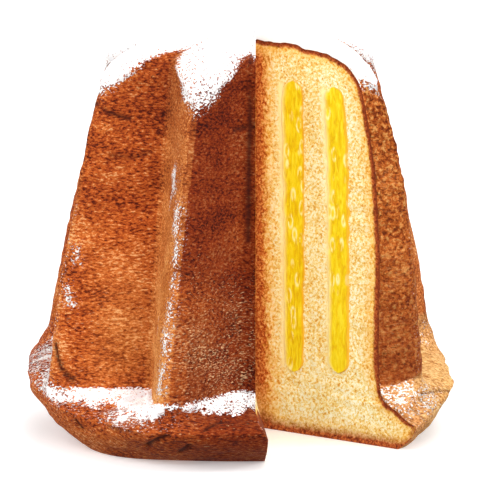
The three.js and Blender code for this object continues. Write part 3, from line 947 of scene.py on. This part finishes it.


def crust_values(grid):
    """How browned, amber, pale, pored and finely streaked the crust is at each place. Part of the
    brown is painted shade, and part of the amber is painted light.
    """
    angle = direction_of(grid)
    height = grid[..., 2]
    foot = on_foot(grid)
    slow = noise(grid, 30, 21)
    top = smooth((height - 120) / 80)
    low_wall = smooth((130 - height) / 80) * (1 - foot)
    # The left-facing strip beside the front ridge is painted lighter and more amber: painted light
    # on a paler crust.
    strip = low_wall * bell(turn_between(angle, GOLDEN_LIT_STRIP), 4)
    slanting = np.stack([angle * 1.4 + height * 0.5, height - 0.5 * angle, 0 * angle], -1)
    wall_tone = flank_value(FLANK_TONE, angle, height) + 0.36 * top
    valley = valley_of(sector_of(angle, height)[1])
    # The valleys are darker near the top: painted shade; the slanting noise is tone at random.
    wall_tone += 0.3 * valley**3 * top + 0.22 * noise(slanting, 24, 24)
    # The foot's front, up to the left cut, is darker: painted shade on browned crust.
    foot_tone = 0.95 * smooth((angle + 40) / 40) * (angle < 20) + 0.1
    browning_and_shade = mix(wall_tone, foot_tone, foot) + 0.18 * slow - 0.5 * strip
    browning_and_shade -= 0.42 * low_wall * (angle < -15)
    browning_and_shade += 0.7 * low_wall * beside_lumpy_ridge(angle)
    # The low wall from the front ridge to the left cut is darker: painted shade.
    browning_and_shade += 0.3 * low_wall * (np.abs(angle) < 18)
    gold_and_light = flank_value(FLANK_GOLD, angle, height) * mix(1.0, 0.35, top) * (1 - foot) + 0.9 * strip
    before_lumpy = angle < LUMPY_WALL - LUMPY_SPREAD
    gold_and_light += 0.6 * low_wall * (0.5 + slow) * np.clip(1 - wall_tone, 0, 1) * before_lumpy
    strokes = flank_value(FLANK_STROKES, angle, height) * smooth((150 - height) / 90)
    strokes *= (1 - foot) * (0.75 + 0.4 * noise(grid, 12, 22))
    pores = mix(0.35, 0.9, top) * (1 - 0.6 * foot) + 0.25 * noise(grid, 20, 23)
    values = {
        "browning_and_shade": browning_and_shade,
        "golden_and_lit": gold_and_light,
        "paleness": 0.95 * foot * bell(turn_between(angle, 88), 34),
        "pores": pores,
        "strokes": strokes + 0.35 * foot,
        "lumpy": lumpy_share(grid),
    }
    return {name: np.clip(value, 0, 1) for name, value in values.items()}


HALO_WIDTH = 1.8


def face_values(face, edge):
    """Distances on a cut face to the crust, to its point and to the base, and the cream's halo."""
    halo = np.zeros(face.shape[:2])
    height = face[..., 2]
    for layer in CREAM_LAYERS.values():
        low, high = layer["ends"]
        inner_side = cream_radius(layer, direction_of(face), height) - CREAM_WIDTH / 2
        ends = smooth((height - low + 2) / 6) * smooth((high + 2 - height) / 6)
        away = from_axis(face) - inner_side + 1.2
        halo = np.maximum(halo, ends * bell(away, HALO_WIDTH))
    from_point = np.hypot(face[..., 0] - POINT_X, face[..., 1])
    return {
        "crust_depth": distance_to_path(face, edge) * rind_scale(height),
        # Lower down the point's painted shade reaches further out, and beside the point the brown
        # at the base reaches higher: painted shade.
        "point_distance": from_point * mix(0.66, 1, smooth(height / 130)),
        "base_distance": height * mix(0.5, 1, smooth(from_point / 22)),
        "cream_halo": halo,
    }


def rind_scale(height):
    """The crust's dark edge on a cut face is thickest on the lower wall, and thin on the foot and
    at the top.
    """
    return mix(1.15, mix(0.62, 1.05, smooth(height / 200)), smooth((height - 28) / 14))


def cut_face(edge, line_heights, outward, seed, browned=0):
    """One cut face, from the wedge's point line out to the edge of the crust."""
    line = np.stack([POINT_X + 0 * line_heights, 0 * line_heights, line_heights], -1)
    face = mix(line, edge, shares(FACE_STEPS)[:, None, None])
    values = face_values(face, edge)
    # Where the foot bulges out of the face, it is crust that shows.
    on_bulge = smooth((browned - face[..., 2]) / 7) * smooth((34 - values["crust_depth"]) / 14)
    values["crust_depth"] = values["crust_depth"] * (1 - on_bulge)
    inner = smooth(values["crust_depth"] / 3) * smooth(values["point_distance"] / 3)
    inner *= smooth(values["base_distance"] / 3)
    sunk = 0.35 + 0.22 * noise(face, 9, seed) + 0.3 * noise(face, 3.2, seed + 1)
    return face - outward * (np.maximum(sunk, 0) * inner)[..., None], values


def bread_piece(grid, normals, sunk, dark, dust):
    steady = smooth(grid[..., 2] / 6)
    steady[:, -1] = 0
    relief = (crust_relief(grid) - sunk) * steady
    crust = grid + normals * relief[..., None]
    crust[:, 0] = grid[:, 0]
    crust[-1, :, 0] = grid[-1, :, 0]
    build = Build()
    build.grid(crust, dust=dust, crack=dark, **crust_values(grid))
    line_heights = (grid[0, :, 2] + grid[-1, :, 2]) / 2
    line_heights[DOME_START:] = DOME_CENTRE
    face, values = cut_face(crust[0], line_heights, towards(RIGHT_CUT[1] - 90), 31)
    build.grid(face, slot=1, **values)
    face, values = cut_face(crust[-1], line_heights, towards(90), 41, LEFT_FLARE_HEIGHT)
    build.grid(face, slot=1, flipped=True, **values)
    build.piece("bread", [crust_material(), crumb_material()], "bread")
    return crust


def skin(name, base, normals, lift, sunk, dust, material):
    """A closed skin of sugar: an upper sheet that dips in at its edges, and a lower one."""
    upper = base + normals * lift[..., None]
    lower = base - normals * sunk[..., None]
    values = {"dust": dust, **crust_values(base)}
    build = Build()
    build.grid(upper, **values)
    build.grid(lower, flipped=True, **values)
    for side in (np.s_[0], np.s_[-1], np.s_[:, 0], np.s_[:, -1]):
        last = side in (np.s_[-1], np.s_[:, -1])
        side_values = {key: value[side] for key, value in values.items()}
        build.grid(np.stack([lower[side], upper[side]]), flipped=last, **side_values)
    build.piece(name, [material], "sugar")


def sugar_cap(crust, normals, above_edge, material):
    first = DOME_START + int(DOME_ROWS * 0.2)
    base = crust[:, first:]
    above = above_edge[:, first:]
    ragged = 2.2 * noise(base, 8, 51) + 1.4 * noise(base, 3.5, 52)
    full = mix(CAP_EDGE_THICKNESS, CAP_THICKNESS, smooth(above / CAP_RAMP))
    soft = full + 0.5 * noise(base, 12, 53) + 0.25 * noise(base, 4, 54)
    lift = mix(-0.9, soft, smooth((above + ragged + 1) / 3))
    covered = above + 2 * ragged - bare_valley(base)
    front = bell(turn_between(direction_of(base), -18), 24)
    dust = mix(0.9, 0.7, front) + np.where(covered > 0, covered / mix(44, 100, front), covered / 12)
    dust = np.clip(dust + 0.08 * noise(base, 10, 55), 0, 1.2)
    from_cut = [np.linalg.norm(base - edge, axis=-1) for edge in (base[:1], base[-1:])]
    sunk = mix(-0.05, 1.6, smooth(np.minimum(*from_cut) / 4))
    lift = np.maximum(lift, 0.1 - sunk)
    lift[:, -1] = lift[0, -1]
    sunk[:, -1] = 0
    skin("sugar_cap", base, normals[:, first:], lift, sunk, dust, material)


DRIFT_TOP = 2.4
DRIFT_SINK = 1.8
# For each drift from the right cut face round to the left one: how far its sides keep from the
# ridges, as shares of its width, how far up the shelf it begins across its width, and its white.
DRIFTS = [
    ((0, 0.15), (0.5, 0.35), 0.46),
    ((0.75, 0.1), (0.4, 0.3), 0.3),
    ((0.08, 0.06), (0.3, 0.4), 0.9),
    ((0.04, 0.1), (0.4, 0.2), 0.9),
    ((0.08, 0.04), (0.2, 0.4), 0.9),
    ((0.1, 0.25), (0.3, 0.3), 0.85),
    ((0.08, 0), (0.4, 0.3, 0.3, 0.24, 0.66), 0.96),
    ((0.1, 0), (0.8, 0.55, 0.34, 0.36, 0.4), 0.82),
]


def drift_side(away, kept):
    """0 beside the ridge and 1 where the drift is at its full thickness."""
    return smooth((away - kept) / 0.1) if kept else 1


def sugar_drift(number, crust, normals, columns, material):
    sides, begins, white = DRIFTS[number - 1]
    rows = slice(SHELF_START + 1, WALL_START + 2)
    base = crust[columns, rows]
    count, depth = base.shape[:2]
    across = np.linspace(0, 1, count)[:, None]
    along = np.linspace(0, 1, depth)[None]
    kept = drift_side(across, sides[0]) * drift_side(1 - across, sides[1])
    ragged = 0.16 * noise(base, 7, 60 + number) + 0.14 * noise(base, 3, 70 + number)
    begin = np.interp(across, np.linspace(0, 1, len(begins)), begins)
    heap = kept * smooth((along - begin) / 0.22 + 0.5 + 2 * ragged) * smooth((1 - along) / 0.1)
    lift = mix(-0.8, DRIFT_TOP, smooth(heap * 1.1 + ragged * 1.3 - 0.1))
    dust = np.clip(white * (0.3 + 0.72 * heap) + ragged, 0, 1.02)
    sunk = np.full(base.shape[:2], DRIFT_SINK)
    at_cut = np.array([[-0.05], [0.5], [1.2]])  # it thins out to nothing at a cut face
    if number == 1:
        sunk[:3] = at_cut
    if number == len(DRIFTS):
        sunk[-3:] = at_cut[::-1]
    lift = np.maximum(lift, 0.1 - sunk)
    skin(f"sugar_drift_{number}", base, normals[columns, rows], lift, sunk, dust, material)


def sugar_drifts(crust, normals, material):
    starts = np.cumsum([0, *SECTOR_STEPS])
    for number in range(1, len(starts)):
        columns = slice(starts[number - 1], starts[number] + 1)
        sugar_drift(number, crust, normals, columns, material)


def cream_radius(layer, angle, heights):
    """The middle of a layer of cream, which waves with the star and leans in as the ridges do."""
    _, share, _ = sector_of(angle, DOME_CENTRE)
    return mix(*layer["radius"], ridge_wave(share)) * mix(*layer["taper"], up_share(heights))


CREAM_ROWS = 110
CREAM_ACROSS = 10
CREAM_TURNS = 56
# For each cut face: a direction in the missing wedge, one in the bread, and how far the cream
# stands out of the face.
RIGHT_END = (20, 100, 0.5)
LEFT_END = (420, 340, 0.05)
CUT_ROUNDS = 30


def cream_section(layer, seed):
    """Offsets across the layer and heights of its section: tall, with wavy sides and round ends."""
    rows = shares(CREAM_ROWS)
    low, high = layer["ends"]
    heights = mix(low, high, 0.5 - 0.075 * np.cos(np.pi * rows) + 0.85 * (rows - 0.5))
    from_end = np.minimum(heights - low, high - heights)
    bend = 1 - np.clip(from_end / (CREAM_WIDTH * 0.55), 0, 1)
    rounding = np.sqrt(np.clip(1 - bend**2, 0.01, 1))
    line = np.stack([0 * rows, 0 * rows, heights], -1)
    sides = []
    for side in (-1, 1):
        wavy = 0.45 * noise(line, 9, seed + side) + 0.3 * noise(line, 3.6, seed + 5 + side)
        sides.append(side * (CREAM_WIDTH / 2 + wavy) * rounding)
    across = mix(*sides, shares(CREAM_ACROSS)[:, None])
    return across, np.broadcast_to(heights, across.shape)


def cream_places(layer, across, heights, angle):
    return around(angle, cream_radius(layer, angle, heights) + across, heights)


def cream_piece(name, layer, seed, material):
    across, heights = cream_section(layer, seed)
    section = (layer, across, heights)
    right = find_cut(section, right_cut(heights) - 90, *RIGHT_END)
    left = find_cut(section, 90, *LEFT_END)
    share = shares(CREAM_ACROSS)[:, None] + 0 * across
    edges = {
        "pale_edge": smooth(1 - share / 0.15) * 0.8,
        "dark_edge": smooth((share - 0.93) / 0.07) * 0.7,
    }
    build = Build()
    for angle, flipped in ((right, False), (left, True)):
        build.grid(cream_places(*section, angle), flipped=flipped, **edges)
    angles = mix(outline(right), outline(left), shares(CREAM_TURNS)[:, None])
    body = cream_places(layer, outline(across), outline(heights), angles)
    build.grid(body, **{key: outline(value) for key, value in edges.items()})
    build.piece(name, [material], "cream")


def find_cut(section, out_angle, outside, inside, proud):
    """The direction from the axis at which each point of the section stands proud of a cut face."""
    normal = towards(out_angle)

    def past_face(angle):
        places = cream_places(*section, angle)
        past = (places[..., 0] - POINT_X) * normal[..., 0] + places[..., 1] * normal[..., 1]
        return past > proud

    flat = 0.0 * section[1]
    near, far = halve(flat + outside, flat + inside, past_face, CUT_ROUNDS)
    return (near + far) / 2


GRAIN_COUNT = 2600
GRAIN_RADIUS = (0.16, 0.42)


def sugar_grains(crust, normals, dust, material):
    """Loose grains and clumps of sugar on the bare crust, more where the dust is thicker."""
    rng = np.random.default_rng(5)
    rows = slice(4, DOME_START + DOME_ROWS // 2)
    places = crust[:, rows]
    across = places[1:, :-1] - places[:-1, :-1]
    upward = places[:-1, 1:] - places[:-1, :-1]
    area = np.linalg.norm(np.cross(across, upward), axis=-1)
    density = area * np.clip(dust[:-1, rows][:, :-1] - 0.25, 0, 1) ** 1.5
    chosen = rng.choice(density.size, GRAIN_COUNT, p=(density / density.sum()).ravel())
    at = np.unravel_index(chosen, density.shape)
    centre = places[at] + rng.random((GRAIN_COUNT, 1)) * across[at]
    centre = centre + rng.random((GRAIN_COUNT, 1)) * upward[at]
    normal = normals[:, rows][at]
    radius = mix(*GRAIN_RADIUS, rng.random((GRAIN_COUNT, 1)) ** 2.5)
    # A grain is an uneven body with six corners and eight faces.
    corners = np.kron(np.eye(3), [[1], [-1]])
    faces = [(0, 2, 4), (2, 1, 4), (1, 3, 4), (3, 0, 4), (2, 0, 5), (1, 2, 5), (3, 1, 5), (0, 3, 5)]
    uneven = rng.uniform(0.6, 1.4, (GRAIN_COUNT, 6, 1))
    turn = np.linalg.qr(rng.normal(size=(GRAIN_COUNT, 3, 3)))[0]
    shape = np.einsum("nij,kj->nki", turn, corners) * uneven * radius[:, None]
    points = centre[:, None] + normal[:, None] * radius[:, None] * 0.4 + shape
    triangles = np.array(faces) + 6 * np.arange(GRAIN_COUNT)[:, None, None]
    mirrored = np.linalg.det(turn) < 0
    triangles[mirrored] = triangles[mirrored][..., ::-1]
    points = (points.reshape(-1, 3) + AXIS) * MM
    mesh = bpy.data.meshes.new("sugar_grains")
    mesh.from_pydata(points.tolist(), [], triangles.reshape(-1, 3).tolist())
    mesh.materials.append(material)
    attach(add_object("sugar_grains", mesh), "root")


# ---- The stage ----

CAMERA_DISTANCE = 5.0
CAMERA_ELEVATION = 11.7
CAMERA_TARGET = Vector((0.06, -0.7, 103.9)) * MM
PIXEL = 0.543 * MM  # the size of a pixel at the target
IMAGE_SIZE = 480
SENSOR = 36.0
# Square studio lights: azimuth, elevation, size, and how bright a white surface that faces the
# light looks.
LIGHTS = {
    "key": (-50, 36, 0.9, 0.36),
    "front": (14, 18, 1.0, 0.78),
    "left": (-82, 18, 0.8, 0.5),
    "right": (84, 24, 0.6, 0.4),
    "top": (60, 72, 1.0, 0.3),
    "back": (170, 40, 1.0, 0.45),
}
LIGHT_DISTANCE = 1.6
WORLD_STRENGTH = 0.38
FLOOR_SIZE = 8.0
FLOOR_DEPTH = 0.0001
FLOOR_WHITE = (247, 247, 247)
FLOOR_GLOW = 0.2


def aim(thing, azimuth, elevation, distance):
    """Stands a camera or a light off the target, facing it."""
    back = Vector(towards(azimuth, elevation).tolist())
    thing.location = CAMERA_TARGET + back * distance
    thing.rotation_mode = "QUATERNION"
    thing.rotation_quaternion = back.to_track_quat("Z", "Y")


def place_camera():
    data = bpy.data.cameras.new("camera")
    data.sensor_width = SENSOR
    data.lens = SENSOR * CAMERA_DISTANCE / (PIXEL * IMAGE_SIZE)
    camera = add_object("camera", data)
    aim(camera, 0, CAMERA_ELEVATION, CAMERA_DISTANCE)
    bpy.context.scene.camera = camera


def light_the_scene():
    world = bpy.data.worlds.new("studio")
    world.use_nodes = True
    background = world.node_tree.nodes["Background"]
    background.inputs["Color"].default_value = (1, 1, 1, 1)
    background.inputs["Strength"].default_value = WORLD_STRENGTH
    bpy.context.scene.world = world
    for name, (azimuth, elevation, size, brightness) in LIGHTS.items():
        data = bpy.data.lights.new(name, "AREA")
        data.size = size
        data.energy = brightness * (math.pi * LIGHT_DISTANCE) ** 2
        aim(add_object(name, data), azimuth, elevation, LIGHT_DISTANCE)


def lay_floor():
    mesh = bpy.data.meshes.new("floor")
    corners = [(-1, -1), (1, -1), (1, 1), (-1, 1)]
    places = [(x * FLOOR_SIZE, y * FLOOR_SIZE, -FLOOR_DEPTH) for x, y in corners]
    mesh.from_pydata(places, [], [(0, 1, 2, 3)])
    m = Material("floor")
    m.shader.inputs["Emission Color"].default_value = (1, 1, 1, 1)
    m.shader.inputs["Emission Strength"].default_value = FLOOR_GLOW
    mesh.materials.append(m.finish(FLOOR_WHITE, 0.9, specular=0.1))
    floor = add_object("floor", mesh)
    floor.visible_diffuse = False  # the white floor throws no light up on the bread


# ---- Putting it together ----

grid = crust_grid()
normals = grid_normals(grid)
above_edge = cap_edge_distance(grid)
sunk, dark = crack_marks(grid)
dust = dust_cover(grid, above_edge)
crust = bread_piece(grid, normals, sunk, dark, dust)
sugar = sugar_material()
sugar_cap(crust, normals, above_edge, sugar)
sugar_drifts(crust, normals, sugar)
cream = cream_material()
for seed, (name, layer) in enumerate(CREAM_LAYERS.items()):
    cream_piece(name, layer, 80 + 10 * seed, cream)
sugar_grains(crust, normals, dust, grain_material())
place_camera()
light_the_scene()
lay_floor()
bpy.context.scene.view_settings.view_transform = "Standard"
